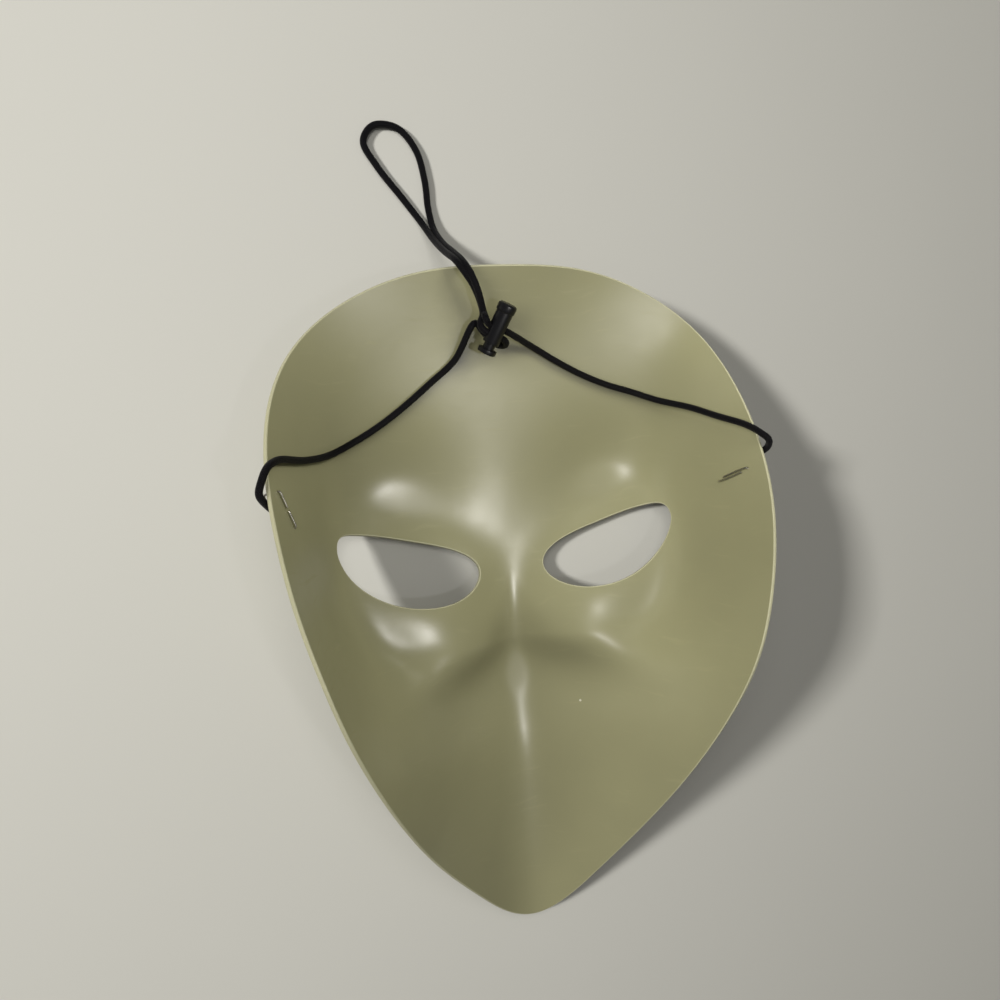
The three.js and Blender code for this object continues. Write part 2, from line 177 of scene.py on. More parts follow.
# Finishes. A tone, dark or light is a share of the colour, and dull is added to the roughness.
PLASTIC = {"peel": 0.00006, "dust": 0.07}
TRIMMED = {"roughness": 0.5, "peel": 0.0001, "dust": 0}
LOCK_PLASTIC = {"roughness": 0.38, "peel": 0.00005, "dust": 0.1}
CLEAN = {"tone": 1.03, "dull": -0.03}
SMUDGED = {"tone": 0.95, "dull": 0.06}
SCUFFED = {"tone": 1.5, "dull": 0.1, "shows": 0.12}
DUST = {"colour": (0.6, 0.58, 0.5, 1), "dull": 0.3, "shows": 0.7}
SCUFF_TURNS = (0.5, 2.1)  # the two ways that scuffs run, in radians
SCUFF_STRETCH = (1, 9, 1)
SCUFF_WAVER = (0.02, 0.02, 0.02)
# The yarn's dark and light tones are painted shade in the grooves and painted highlight on the
# crowns.
YARN = {"groove": -0.6, "fuzz": 0.5, "depth": 0.00018, "dark": 0.5, "light": 1.6}
WIRE = {"stretch": (14, 260, 1), "dark": 0.8, "light": 1.15}
TABLE = {"half": 3.0, "dark": 0.98, "light": 1.02}

# The camera stands above the left temple and looks down into the hollow.
CAMERA_PLACE = (-0.08329, 0.06788, 0.28193)
CAMERA_TURN = (-4.002, -16.573, -4.319)
CAMERA_LENS = 27.36
SENSOR = 36.0
NEAREST = 0.01  # what the camera still shows

# Each lamp's place, the side of its square and its colour.
LAMPS = {
    "Key": ((-1.25, 0.37, 0.93), 0.2, (1.0, 0.985, 0.97)),
    "Side": ((-1.25, 0.37, 0.93), 1.1, (1.0, 0.985, 0.97)),
    "Soft": ((-0.15, 0.3, 0.6), 0.3, (1.0, 0.99, 0.97)),
    "Inner": ((0.2, 0.22, 0.3), 0.15, (1.0, 0.99, 0.96)),
    "Top": ((0.112, -0.074, 0.69), 0.035, (1.0, 0.98, 0.95)),
}
ROOM_COLOUR = (1.0, 0.985, 0.95, 1)
LIT_ALONE = "Lit alone"  # collections for the lamps that light the shell alone
NOT_LIT = "Not lit"  # and for the lamp that lights everything else


# Settings that a user would change.
COLOUR = {"subtype": "COLOR", "size": 4, "min": 0, "max": 1}  # what all colours have in common
LENGTH = {"unit": "LENGTH", "precision": 4}
POWER = {"unit": "POWER", "min": 0}


class ShellSettings(bpy.types.PropertyGroup):
    """Sizes and colours of the moulded shell."""

    mesh_step: bpy.props.FloatProperty(
        name="Mesh step",
        description="Distance between neighbouring points of the shell's fine mesh",
        default=0.0012,
        min=0.0008,
        max=0.004,
        **LENGTH,
    )
    lip_radius: bpy.props.FloatProperty(
        name="Lip radius",
        description="How far the trimmed edges are rounded",
        default=0.0004,
        min=0.0001,
        max=0.0006,
        **LENGTH,
    )
    plastic: bpy.props.FloatVectorProperty(
        name="Plastic",
        description="Colour of the moulded plastic",
        default=(0.21, 0.202, 0.111, 1),
        **COLOUR,
    )
    cut_edge: bpy.props.FloatVectorProperty(
        name="Cut edge",
        description="Colour of the plastic where it was trimmed",
        default=(0.33, 0.32, 0.205, 1),
        **COLOUR,
    )
    roughness: bpy.props.FloatProperty(
        name="Roughness",
        description="How dull the plastic is between its smudges",
        default=0.33,
        min=0,
        max=1,
        subtype="FACTOR",
    )


class CordSettings(bpy.types.PropertyGroup):
    """Look of the elastic."""

    colour: bpy.props.FloatVectorProperty(
        name="Elastic",
        description="Colour of the braided cover",
        default=(0.0025, 0.0022, 0.003, 1),
        **COLOUR,
    )
    carriers: bpy.props.IntProperty(
        name="Carriers",
        description="Yarns that wind each way round the cord",
        default=8,
        min=4,
        max=16,
    )
    lay_length: bpy.props.FloatProperty(
        name="Lay length",
        description="Length of cord that one yarn takes to go round it",
        default=0.0065,
        min=0.002,
        max=0.02,
        **LENGTH,
    )


class HardwareSettings(bpy.types.PropertyGroup):
    """Look of the cord lock and the staples."""

    lock: bpy.props.FloatVectorProperty(
        name="Lock",
        description="Colour of the cord lock's plastic",
        default=(0.004, 0.004, 0.0048, 1),
        **COLOUR,
    )
    steel: bpy.props.FloatVectorProperty(
        name="Staple",
        description="Colour of the plated staple wire",
        default=(0.55, 0.53, 0.47, 1),
        **COLOUR,
    )


class StageSettings(bpy.types.PropertyGroup):
    """The table and the light."""

    floor: bpy.props.FloatVectorProperty(
        name="Table",
        description="Colour of the table top",
        default=(0.592, 0.585, 0.53, 1),
        **COLOUR,
    )
    key: bpy.props.FloatProperty(
        name="Key light",
        description="Power of the small lamp at the left, which lights all but the shell",
        default=24.0,
        **POWER,
    )
    side: bpy.props.FloatProperty(
        name="Side light",
        description="Power of the broad lamp at the left, which lights the shell alone",
        default=27.0,
        **POWER,
    )
    inner: bpy.props.FloatProperty(
        name="Inner light",
        description="Power of the lamp at the right, which lights the shell alone",
        default=1.1,
        **POWER,
    )
    soft: bpy.props.FloatProperty(
        name="Soft light",
        description="Power of the soft lamp above",
        default=1.2,
        **POWER,
    )
    top: bpy.props.FloatProperty(
        name="Top light",
        description="Power of the small lamp overhead, which gives the highlights",
        default=2.0,
        **POWER,
    )
    fill: bpy.props.FloatProperty(
        name="Room light",
        description="Strength of the even light from all round",
        default=0.12,
        min=0,
    )


class MaskSettings(bpy.types.PropertyGroup):
    """All of the mask's settings."""

    shell: bpy.props.PointerProperty(type=ShellSettings)
    cord: bpy.props.PointerProperty(type=CordSettings)
    hardware: bpy.props.PointerProperty(type=HardwareSettings)
    stage: bpy.props.PointerProperty(type=StageSettings)


# The surface of the face.
def clamped_spline(xs, ys):
    """A smooth curve through stations that is level at both ends, as a function of arrays."""
    xs, ys = np.asarray(xs, float), np.asarray(ys, float)
    per = 1 / np.diff(xs)
    system = np.eye(len(xs))
    wanted = np.zeros(len(xs))
    for i in range(1, len(xs) - 1):
        system[i, i - 1 : i + 2] = per[i - 1], 2 * (per[i - 1] + per[i]), per[i]
        before = (ys[i] - ys[i - 1]) * per[i - 1] ** 2
        after = (ys[i + 1] - ys[i]) * per[i] ** 2
        wanted[i] = 3 * (before + after)
    slopes = np.linalg.solve(system, wanted)

    def value(x):
        x = np.clip(x, xs[0], xs[-1])
        i = np.clip(np.searchsorted(xs, x, side="right") - 1, 0, len(xs) - 2)
        span = xs[i + 1] - xs[i]
        t = (x - xs[i]) / span
        rest = 1 - t
        ends = rest**2 * (1 + 2 * t) * ys[i] + t**2 * (3 - 2 * t) * ys[i + 1]
        return ends + span * t * rest * (rest * slopes[i] - t * slopes[i + 1])

    return value


bearings = np.radians([row[0] for row in RIM])
rim_reach, rim_height, bend_at, soft_at = (
    clamped_spline(bearings, [row[column] for row in RIM]) for column in range(1, 5)
)
middle_height = clamped_spline(*zip(*PROFILE))


def smooth_max(a, b, k):
    """The larger of two heights, blended where they differ by about k or less."""
    return k * np.logaddexp(a / k, b / k)


def smooth_min(a, b, k):
    """The smaller, blended in the same way."""
    return -smooth_max(-a, -b, k)


def smooth_step(share):
    """From 0 to 1, level at both ends."""
    share = np.clip(share, 0, 1)
    return share * share * (3 - 2 * share)


def beyond(line, side, y):
    """How far points are past a crease's line, the way that its normal points."""
    return line["nx"] * (side - line["x"]) + line["ny"] * (y - line["y"])


def inner_height(x, y):
    """Height of the inner surface at points of the face."""
    bearing = np.arctan2(np.abs(x), y)
    side = np.hypot(x, BLEND["middle"])
    middle = middle_height(y)
    risen = smooth_step((y - FOREHEAD["start"]) / FOREHEAD["over"])
    off_brow = (side - BROW["x"]) ** 2 + (y - BROW["y"]) ** 2
    floor = middle + FOREHEAD["dish"] * side**2 * risen
    floor = floor - BROW["depth"] * np.exp(-off_brow / BROW["spread"] ** 2)

    inside = smooth_min(beyond(CREASE_TEMPLE, side, y), beyond(CREASE_JAW, side, y), CHEEK["turn"])
    cheek = CHEEK["z"] + CHEEK["rise"] * inside
    socket = SOCKET["z"] + SOCKET["outward"] * (side - SOCKET["x"]) - SOCKET["down"] * y
    muzzle = smooth_step((NOSE["start"] - y) / NOSE["over"])
    slope = NOSE["slope"] + (MUZZLE["slope"] - NOSE["slope"]) * muzzle
    radius = NOSE["radius"] + (MUZZLE["radius"] - NOSE["radius"]) * muzzle
    flank = middle + NOSE["lift"] + slope * (np.hypot(side, radius) - radius)
    raised = smooth_min(smooth_min(cheek, socket, BLEND["socket"]), flank, BLEND["socket"])
    relief = smooth_max(floor, raised, BLEND["brow"])

    along = np.hypot(x, y) / rim_reach(bearing)
    bend, soft = bend_at(bearing), soft_at(bearing)
    wall = np.logaddexp(0, (along - bend) / soft) / np.logaddexp(0, (1 - bend) / soft)
    wall = wall * smooth_step(along / WALL_START)
    height = relief + (rim_height(bearing) - relief) * wall
    return smooth_max(height, FOOT["z"], FOOT["blend"])


def place(x, y, z):
    """A place in the face, leaned with the rest of it, in the part's frame."""
    return np.stack([x, y + LEAN * z + EYE_LINE_Y, z], axis=-1)


def surface_normal(x, y):
    """The inner surface's normal, towards the wearer."""
    step = SLOPE_STEP
    dx = (inner_height(x + step, y) - inner_height(x - step, y)) / (2 * step)
    dy = (inner_height(x, y + step) - inner_height(x, y - step)) / (2 * step)
    return unit(np.stack([-dx, -dy, 1 + LEAN * dy], axis=-1))


def off_surface(x, y, distance):
    """Points off the inner surface: towards the wearer, or outside it if negative."""
    return place(x, y, inner_height(x, y)) + distance * surface_normal(x, y)


def unit(vectors):
    """The same directions with a length of 1."""
    return vectors / np.linalg.norm(vectors, axis=-1, keepdims=True)


# Meshes.
def new_object(name, vertices, faces, materials, face_slots=None):
    """A smooth mesh object, linked into the scene."""
    mesh = bpy.data.meshes.new(name)
    mesh.from_pydata([tuple(v) for v in vertices], [], faces)
    mesh.validate()
    for material in materials:
        mesh.materials.append(material)
    if face_slots is not None:
        mesh.polygons.foreach_set("material_index", np.asarray(face_slots, np.int32))
    mesh.polygons.foreach_set("use_smooth", np.ones(len(mesh.polygons), bool))
    mesh.update()
    made = bpy.data.objects.new(name, mesh)
    bpy.context.scene.collection.objects.link(made)
    return made


def run_along(points):
    """How far along a chain of points each one is."""
    return np.r_[0, np.cumsum(np.linalg.norm(np.diff(points, axis=0), axis=1))]


def respaced(points, step, closed=False):
    """The same chain with its points evenly spaced, at about a step."""
    if closed:
        points = np.vstack([points, points[:1]])
    run = run_along(points)
    count = round(run[-1] / step)
    at = np.arange(count + (not closed)) * run[-1] / count
    return np.stack([np.interp(at, run, column) for column in points.T], axis=-1)


def rim_loop():
    """The rim in plan, counter-clockwise."""
    bearing = np.radians(np.arange(180, -180, -RIM_TURN))
    reach = rim_reach(np.abs(bearing))
    return np.stack([reach * np.sin(bearing), reach * np.cos(bearing)], axis=-1)


def cut_to_surface(loop):
    """An outline moved from the eye holes' own plane, square to it, on to the inner surface."""
    outward, down = EYE_PLANE["outward"], EYE_PLANE["down"]
    level = EYE_PLANE["z"] + outward * (loop[:, 0] - EYE_PLANE["x"]) - down * loop[:, 1]
    way = np.array([-outward, down])
    low = np.full(len(loop), -EYE_CUT)
    high = np.full(len(loop), EYE_CUT)
    for _ in range(HALVINGS):
        middle = (low + high) / 2
        moved = loop + middle[:, None] * way
        under = level + middle < inner_height(moved[:, 0], moved[:, 1])
        low = np.where(under, middle, low)
        high = np.where(under, high, middle)
    return loop + low[:, None] * way


def eye_loop(side):
    """An eye hole in plan, clockwise, so that the plastic is on the left hand all along it."""
    points = []
    start = np.array(EYE_START)
    t = np.linspace(0, 1, ARC_POINTS, endpoint=False)[:, None]
    rest = 1 - t
    for arc in EYE_ARCS:
        a, b, end = (np.array(p) for p in arc)
        points.append(rest**3 * start + 3 * rest**2 * t * a + 3 * rest * t**2 * b + t**3 * end)
        start = end
    loop = cut_to_surface(np.vstack(points)) * (side, 1)
    return loop if side > 0 else loop[::-1]


def inside_loop(points, loop):
    """Whether each point is inside a closed loop, by counting crossings."""
    inside = np.zeros(len(points), bool)
    for a, b in zip(loop, np.roll(loop, -1, axis=0)):
        if a[1] == b[1]:
            continue
        crosses = (points[:, 1] < a[1]) != (points[:, 1] < b[1])
        at = a[0] + (b[0] - a[0]) * (points[:, 1] - a[1]) / (b[1] - a[1])
        inside ^= crosses & (points[:, 0] < at)
    return inside


def lip_frame(loop):
    """Along a trimmed edge: the surface's normal, and the way out of the plastic."""
    points = off_surface(loop[:, 0], loop[:, 1], 0)
    along = unit(np.roll(points, -1, axis=0) - np.roll(points, 1, axis=0))
    normal = surface_normal(loop[:, 0], loop[:, 1])
    outward = unit(np.cross(along, normal))
    return normal, outward


def plan_mesh(loops, step):
    """Points and triangles over the face in plan, fitted to the rim and the eye holes."""
    starts = np.cumsum([0] + [len(loop) for loop in loops])
    borders = [np.arange(*ends) for ends in zip(starts, starts[1:])]
    edges = []
    for border in borders:
        edges += list(zip(border.tolist(), np.roll(border, -1).tolist()))
    fixed = np.vstack(loops)
    near = kdtree.KDTree(len(fixed))
    for i, (x, y) in enumerate(fixed):
        near.insert((x, y, 0), i)
    near.balance()

    rows = []
    row_step = step * math.sqrt(3) / 2
    for number, y in enumerate(np.arange(*ROWS_Y, row_step)):
        xs = np.arange(*ROWS_X, step) + (number % 2) * step / 2
        rows.append(np.stack([xs, np.full(len(xs), y)], axis=-1))
    grid = np.vstack(rows)
    bearing = np.arctan2(np.abs(grid[:, 0]), grid[:, 1])
    grid = grid[np.hypot(grid[:, 0], grid[:, 1]) < rim_reach(bearing)]
    for hole in loops[1:]:
        grid = grid[~inside_loop(grid, hole)]
    clear = [near.find((x, y, 0))[2] > SPACING["beside_edge"] * step for x, y in grid]
    points = np.vstack([fixed, grid[np.array(clear)]])

    whole, nearest = 0, 1e-9
    found = delaunay_2d_cdt([Vector(p) for p in points], edges, [], whole, nearest)
    plan = np.array([tuple(v) for v in found[0]])
    order = np.empty(len(points), int)
    order[[source[0] for source in found[3]]] = np.arange(len(plan))
    triangles = np.array(found[2])
    middles = plan[triangles].mean(axis=1)
    keep = inside_loop(middles, loops[0])
    for hole in loops[1:]:
        keep &= ~inside_loop(middles, hole)
    triangles = triangles[keep]
    a, b, c = (plan[triangles[:, k]] for k in range(3))
    turned = np.cross(b - a, c - a) < 0
    triangles[turned] = triangles[turned][:, ::-1]
    return plan, triangles, [order[border] for border in borders]


def shell_mesh(settings):
    """The shell's points, their normals, its faces, and which faces are trimmed edges."""
    radius = settings.lip_radius
    step = settings.mesh_step
    loops = [respaced(rim_loop(), step * SPACING["rim"], closed=True)]
    for side in (1, -1):
        loops.append(respaced(eye_loop(side), step * SPACING["eye"], closed=True))
    drawn_in = [loop - radius * lip_frame(loop)[1][:, :2] for loop in loops]
    plan, triangles, borders = plan_mesh(drawn_in, step)

    inner = off_surface(plan[:, 0], plan[:, 1], 0)
    normal = surface_normal(plan[:, 0], plan[:, 1])
    outer = inner - THICKNESS * normal
    outer[:, 2] = np.maximum(outer[:, 2] - SETTLE, 0)
    count = len(plan)
    points, normals = [inner, outer], [normal, -normal]
    faces = [tuple(t) for t in triangles.tolist()]
    faces += [tuple(t) for t in (triangles[:, ::-1] + count).tolist()]
    slots = [0] * len(faces)
    total = 2 * count
    for border in borders:
        up, outward = lip_frame(plan[border])
        rows = [border]
        turns = [(t, 0) for t in LIP_TURNS] + [(t, 1) for t in LIP_TURNS[::-1]]
        for turn, lower in turns:
            out = radius * math.sin(turn)
            down = radius * (1 - math.cos(turn))
            down = THICKNESS - down if lower else down
            tilt = -1 if lower else 1
            points.append(inner[border] + out * outward - down * up)
            normals.append(math.sin(turn) * outward + tilt * math.cos(turn) * up)
            rows.append(np.arange(total, total + len(border)))
            total += len(border)
        rows.append(border + count)
        for above, below in zip(rows, rows[1:]):
            quads = np.stack([above, below, np.roll(below, -1), np.roll(above, -1)], axis=-1)
            faces += [tuple(q) for q in quads.tolist()]
            slots += [1] * len(quads)
    return np.vstack(points), np.vstack(normals), faces, slots


# Curves and tubes.
def smooth_route(points, per_span):
    """A centripetal curve through points, as many short straight runs."""
    points = np.asarray(points, float)
    ends = 2 * points[0] - points[1], 2 * points[-1] - points[-2]
    chain = np.vstack([ends[0], points, ends[1]])
    spans = np.sqrt(np.linalg.norm(np.diff(chain, axis=0), axis=1))
    t = np.linspace(0, 1, per_span, endpoint=False)[:, None]
    rest = 1 - t
    runs = []
    for i in range(1, len(chain) - 2):
        p0, p1, p2, p3 = chain[i - 1 : i + 3]
        d0, d1, d2 = spans[i - 1 : i + 2]
        leave = ((p1 - p0) / d0 - (p2 - p0) / (d0 + d1) + (p2 - p1) / d1) * d1
        enter = ((p2 - p1) / d1 - (p3 - p1) / (d1 + d2) + (p3 - p2) / d2) * d1
        run = rest**2 * (1 + 2 * t) * p1 + t**2 * (3 - 2 * t) * p2
        runs.append(run + t * rest * (rest * leave - t * enter))
    return np.vstack(runs + [points[-1:]])


def fine_route(points, shape):
    """The route through a tube's given points, as finely as it is meshed."""
    return respaced(smooth_route(points, shape["per_span"]), shape["step"])


def tube(name, route, radius, shape, material):
    """A round tube along a route with rounded ends, its UVs once round and in metres along."""
    sides = shape["sides"]
    drawn_out = radius * shape["drawn_out"]
    ahead = unit(np.gradient(route, axis=0))
    side = unit(np.cross(ahead[0], SKEW))
    sides_at = []
    for direction in ahead:
        side = unit(side - direction * np.dot(side, direction))
        sides_at.append(side)
    sides_at = np.array(sides_at)
    other = np.cross(ahead, sides_at)
    cap = [
        (drawn_out * math.sin(turn), radius * max(math.cos(turn), CAP_TIP))
        for turn in np.linspace(0, math.pi / 2, CAP_RINGS + 1)[1:]
    ]
    rings = [(route[0] - ahead[0] * d, sides_at[0], other[0], r) for d, r in cap[::-1]]
    rings += [(*at, radius) for at in zip(route, sides_at, other)]
    rings += [(route[-1] + ahead[-1] * d, sides_at[-1], other[-1], r) for d, r in cap]
    angles = np.linspace(0, 2 * math.pi, sides, endpoint=False)
    circle = np.stack([np.cos(angles), np.sin(angles)], axis=-1)
    points = [c + r * (circle[:, :1] * a + circle[:, 1:] * b) for c, a, b, r in rings]
    faces = []
    last = (len(rings) - 1) * sides
    for low in range(0, last, sides):
        for k in range(sides):
            n = (k + 1) % sides
            faces.append((low + k, low + n, low + sides + n, low + sides + k))
    faces.append(tuple(range(sides))[::-1])
    faces.append(tuple(range(last, last + sides)))
    made = new_object(name, np.vstack(points), faces, [material])
    run = run_along([ring[0] for ring in rings])
    uv = made.data.uv_layers.new(name="Along").data
    for number, face in enumerate(made.data.polygons):
        for corner, loop in enumerate(face.loop_indices):
            ring, k = divmod(face.vertices[corner], sides)
            wraps = number < len(faces) - 2 and k == 0 and corner in (1, 2)
            uv[loop].uv = (1.0 if wraps else k / sides, run[ring])
    return made


def lathe(name, profile, material):
    """A solid turned about its own Y axis from a profile of (radius, height) from axis to axis."""
    segments = LATHE_SIDES
    points = []
    rings = []
    for radius, height in profile:
        if radius == 0:
            rings.append([len(points)])
            points.append((0, height, 0))
            continue
        rings.append(list(range(len(points), len(points) + segments)))
        for k in range(segments):
            angle = 2 * math.pi * k / segments
            points.append((radius * math.sin(angle), height, radius * math.cos(angle)))
    faces = []
    for low, high in zip(rings, rings[1:]):
        for k in range(segments):
            n = (k + 1) % segments
            if len(low) == 1:
                faces.append((low[0], high[n], high[k]))
            elif len(high) == 1:
                faces.append((low[k], low[n], high[0]))
            else:
                faces.append((low[k], low[n], high[n], high[k]))
    return new_object(name, points, faces, [material])


def rounded_corner(centre, radius, start, end, steps=4):
    """Profile points round a corner, between two angles in degrees."""
    turns = np.radians(np.linspace(start, end, steps + 1))
    return [(centre[0] + radius * math.cos(t), centre[1] + radius * math.sin(t)) for t in turns]


# The route of the cord.
lock_axis = unit(np.array(LOCK_AXIS))
lock_up = unit(np.cross(LOCK_THROUGH, lock_axis))
lock_through = np.cross(lock_axis, lock_up)
lock_hole = place(*LOCK_HOLE)


def at_lock(x, y, z):
    """A place in the lock's own frame, in the part's."""
    return lock_hole + x * lock_through + y * lock_axis + z * lock_up


def on_shell(x, y):
    """The cord's middle where it lies in the hollow."""
    return off_surface(x, y, CORD_RADIUS + LIES_OFF["shell"])


# The cord's middle: off the inner surface where it is outside, and above the table.
OUTSIDE = -(THICKNESS + CORD_RADIUS + GAP)
ON_TABLE = CORD_RADIUS + LIES_OFF["table"]

# The listed points of the cord, from under the left staple to under the right one.
cord_points = [
    off_surface(-0.0774, 0.0286, OUTSIDE),
    off_surface(-0.0813, 0.0296, OUTSIDE),
    off_surface(-0.0842, 0.0322, OUTSIDE),
    place(-0.0887, 0.035, 0.0451),
    place(-0.0876, 0.039, 0.045),
    place(-0.0857, 0.0428, 0.0436),
    place(-0.0826, 0.045, 0.0394),
    on_shell(-0.075, 0.045),
    on_shell(-0.066, 0.047),
    on_shell(-0.0565, 0.0512),
    on_shell(-0.047, 0.0562),
    on_shell(-0.0375, 0.0624),
    on_shell(-0.028, 0.0696),
    on_shell(-0.0185, 0.0774),
    at_lock(-0.0068, -0.0008, -0.0043),
    at_lock(-0.003, -0.0023, -0.00465),
    at_lock(0.0008, -0.0041, -0.00475),
    at_lock(0.0042, -0.0048, -0.0044),
    at_lock(0.0062, -0.0037, -0.0028),
    at_lock(0.0053, -0.0022, -0.0008),
    at_lock(0.0029, -STRAND, 0),
    at_lock(-0.0032, -STRAND, 0),
    at_lock(-0.0059, -0.0001, -0.0008),
    place(-0.0089, 0.0914, 0.0221),
    place(-0.0122, 0.0992, 0.0258),
    place(-0.0159, 0.104, 0.0279),
    place(-0.0183, 0.108, 0.0268),
    place(-0.02, 0.1136, 0.0184),
    place(-0.0214, 0.121, 0.008),
    place(-0.024, 0.129, ON_TABLE + 0.0003),
    place(-0.0304, 0.1379, ON_TABLE),
    place(-0.0384, 0.1486, ON_TABLE),
    place(-0.0425, 0.157, ON_TABLE),
    place(-0.0385, 0.1626, ON_TABLE),
    place(-0.03, 0.162, ON_TABLE),
    place(-0.0238, 0.1546, ON_TABLE),
    place(-0.0214, 0.144, ON_TABLE),
    place(-0.0209, 0.134, ON_TABLE),
    place(-0.02, 0.1262, ON_TABLE + 0.002),
    place(-0.0186, 0.119, 0.0104),
    place(-0.0172, 0.1126, 0.0202),
    place(-0.0158, 0.1076, 0.0269),
    place(-0.014, 0.1032, 0.0288),
    place(-0.0116, 0.0976, 0.0276),
    place(-0.0093, 0.091, 0.0246),
    at_lock(-0.0057, 0.003, 0.0008),
    at_lock(-0.0035, STRAND, 0),
    at_lock(0.003, STRAND, 0),
    at_lock(0.0072, 0.0009, -0.0012),
    on_shell(0.0115, 0.0802),
    on_shell(0.021, 0.0748),
    on_shell(0.031, 0.0698),
    on_shell(0.041, 0.0658),
    on_shell(0.051, 0.0626),
    on_shell(0.062, 0.0584),
    on_shell(0.072, 0.0542),
    on_shell(0.079, 0.0492),
    place(0.0828, 0.0448, 0.0398),
    place(0.085, 0.0417, 0.0445),
    place(0.0879, 0.0386, 0.0458),
    place(0.0889, 0.036, 0.0436),
    off_surface(0.084, 0.0342, OUTSIDE),
    off_surface(0.0821, 0.0314, OUTSIDE),
    off_surface(0.0793, 0.0268, OUTSIDE),
    off_surface(0.0789, 0.019, OUTSIDE),
]


def staple_points(where):
    """A staple's bent wire: leg, bend, crown outside over the cord, bend, leg."""
    heading = math.radians(where["heading"])
    middle = off_surface(where["x"], where["y"], 0)
    up = surface_normal(where["x"], where["y"])
    level = np.array([math.cos(heading), math.sin(heading), 0])
    along = unit(level - up * np.dot(level, up))
    across = np.cross(up, along)
    wire, corner, leg = STAPLE["wire"], STAPLE["corner"], where["leg"]
    bend = corner * STAPLE["bend"]
    half = STAPLE["crown"] / 2
    inside = wire + GAP
    outside = -(THICKNESS + 2 * CORD_RADIUS + 2 * GAP + wire)

    def at(distance, height, sideways):
        return middle + along * distance + up * height + across * sideways

    def half_wire(end):
        """From a leg's tip to the crown, as way in from the bend, height and share sideways."""
        run = (
            (leg, inside, 1),
            (leg / 2, inside, 1),
            (corner, inside, 0.5),
            (bend, inside - bend, 0.25),
            (0, inside - corner, 0),
            (0, (inside + outside) / 2, 0),
            (0, outside + corner, 0),
            (bend, outside + bend, 0),
            (corner, outside, 0),
        )
        apart = end * where["apart"]
        return [at(end * (half - way_in), height, apart * share) for way_in, height, share in run]

    return half_wire(-1) + [at(0, outside, 0)] + half_wire(1)[::-1]


# The cord lock.
def barrel_profile():
    """From the bore's blind end round the open end and up the outside to the closed end."""
    b = BARREL
    lip, crown = b["lip"], b["crown"]
    width, depth = b["mouth"]
    low = (b["radius"] - lip, b["open_end"] + lip)
    foot, rise, top = (b["head_from"] + height for height in b["shoulder"])
    high = (b["head_radius"] - crown, b["closed_end"] - crown)
    return [
        (0, b["bore_end"]),
        (b["bore"], b["bore_end"]),
        (b["bore"], b["open_end"] + depth),
        (b["bore"] + width, b["open_end"]),
        *rounded_corner(low, lip, -90, 0),
        (b["radius"], foot),
        (b["head_radius"] - b["shoulder_in"], rise),
        (b["head_radius"], top),
        *rounded_corner(high, crown, 0, 90, steps=6),
        (0, b["closed_end"]),
    ]


def plunger_profile():
    """From the button's face round its edge and up the stem."""
    p = PLUNGER
    edge, bevel = p["edge"], p["stem_bevel"]
    low = (p["button"] - edge, p["button_end"] + edge)
    high = (p["button"] - edge / 2, p["button_top"] - edge / 2)
    return [
        (0, p["button_end"]),
        *rounded_corner(low, edge, -90, 0),
        *rounded_corner(high, edge / 2, 0, 90),
        (p["stem"], p["button_top"]),
        (p["stem"], p["stem_end"] - bevel),
        (p["stem"] - bevel, p["stem_end"]),
        (0, p["stem_end"]),
    ]


def cut_slot(piece):
    """Cut the oval hole for the two strands across a piece of the lock."""
    w, h = SLOT["half_width"], SLOT["half_height"]
    outline = []
    for centre, start in ((w - h, -90), (h - w, 90)):
        for turn in np.radians(np.linspace(start, start + 180, SLOT["points"])):
            outline.append((centre + h * math.cos(turn), h * math.sin(turn)))
    reach = SLOT["reach"]
    count = len(outline)
    points = [(-reach, y, z) for y, z in outline] + [(reach, y, z) for y, z in outline]
    faces = [tuple(range(count))[::-1], tuple(range(count, 2 * count))]
    for k in range(count):
        n = (k + 1) % count
        faces.append((k, n, count + n, count + k))
    cutter = new_object("slot_cutter", points, faces, [])
    cut = piece.modifiers.new("Slot", "BOOLEAN")
    cut.operation = "DIFFERENCE"
    cut.solver = "EXACT"
    cut.object = cutter
    evaluated = piece.evaluated_get(bpy.context.evaluated_depsgraph_get())
    result = bpy.data.meshes.new_from_object(evaluated)
    piece.modifiers.clear()
    piece.data = result
    bpy.data.objects.remove(cutter)


# Shader nodes.
def feed(tree, node, values):
    """Give a node's sockets values or links."""
    for key, value in values.items():
        if isinstance(value, bpy.types.NodeSocket):
            tree.links.new(value, node.inputs[key])
        else:
            node.inputs[key].default_value = value


def add(tree, kind, values=None, **settings):
    """The outputs of a new node, with its properties set and its sockets fed."""
    made = tree.nodes.new(kind)
    for key, value in settings.items():
        setattr(made, key, value)
    feed(tree, made, values or {})
    return made.outputs


def new_group(name, inputs, outputs):
    """An empty shader node group with float inputs and outputs."""
    tree = bpy.data.node_groups.new(name, "ShaderNodeTree")
    for label, default in inputs:
        socket = tree.interface.new_socket(label, in_out="INPUT", socket_type="NodeSocketFloat")
        socket.default_value = default
    for label in outputs:
        tree.interface.new_socket(label, in_out="OUTPUT", socket_type="NodeSocketFloat")
    return tree, tree.nodes.new("NodeGroupInput"), tree.nodes.new("NodeGroupOutput")


def math_node(tree, operation, *values, clamp=False):
    """The result of one step of arithmetic."""
    sockets = dict(enumerate(values))
    return add(tree, "ShaderNodeMath", sockets, operation=operation, use_clamp=clamp)[0]


def ranged(tree, value, low, high, to_low=0.0, to_high=1.0):
    """A value's range moved to another, eased at both ends."""
    sockets = {0: value, 1: low, 2: high, 3: to_low, 4: to_high}
    return add(tree, "ShaderNodeMapRange", sockets, interpolation_type="SMOOTHSTEP")[0]


def mixed(tree, factor, a, b):
    """A colour between two."""
    sockets = {0: factor, 6: a, 7: b}
    return add(tree, "ShaderNodeMix", sockets, data_type="RGBA")[2]


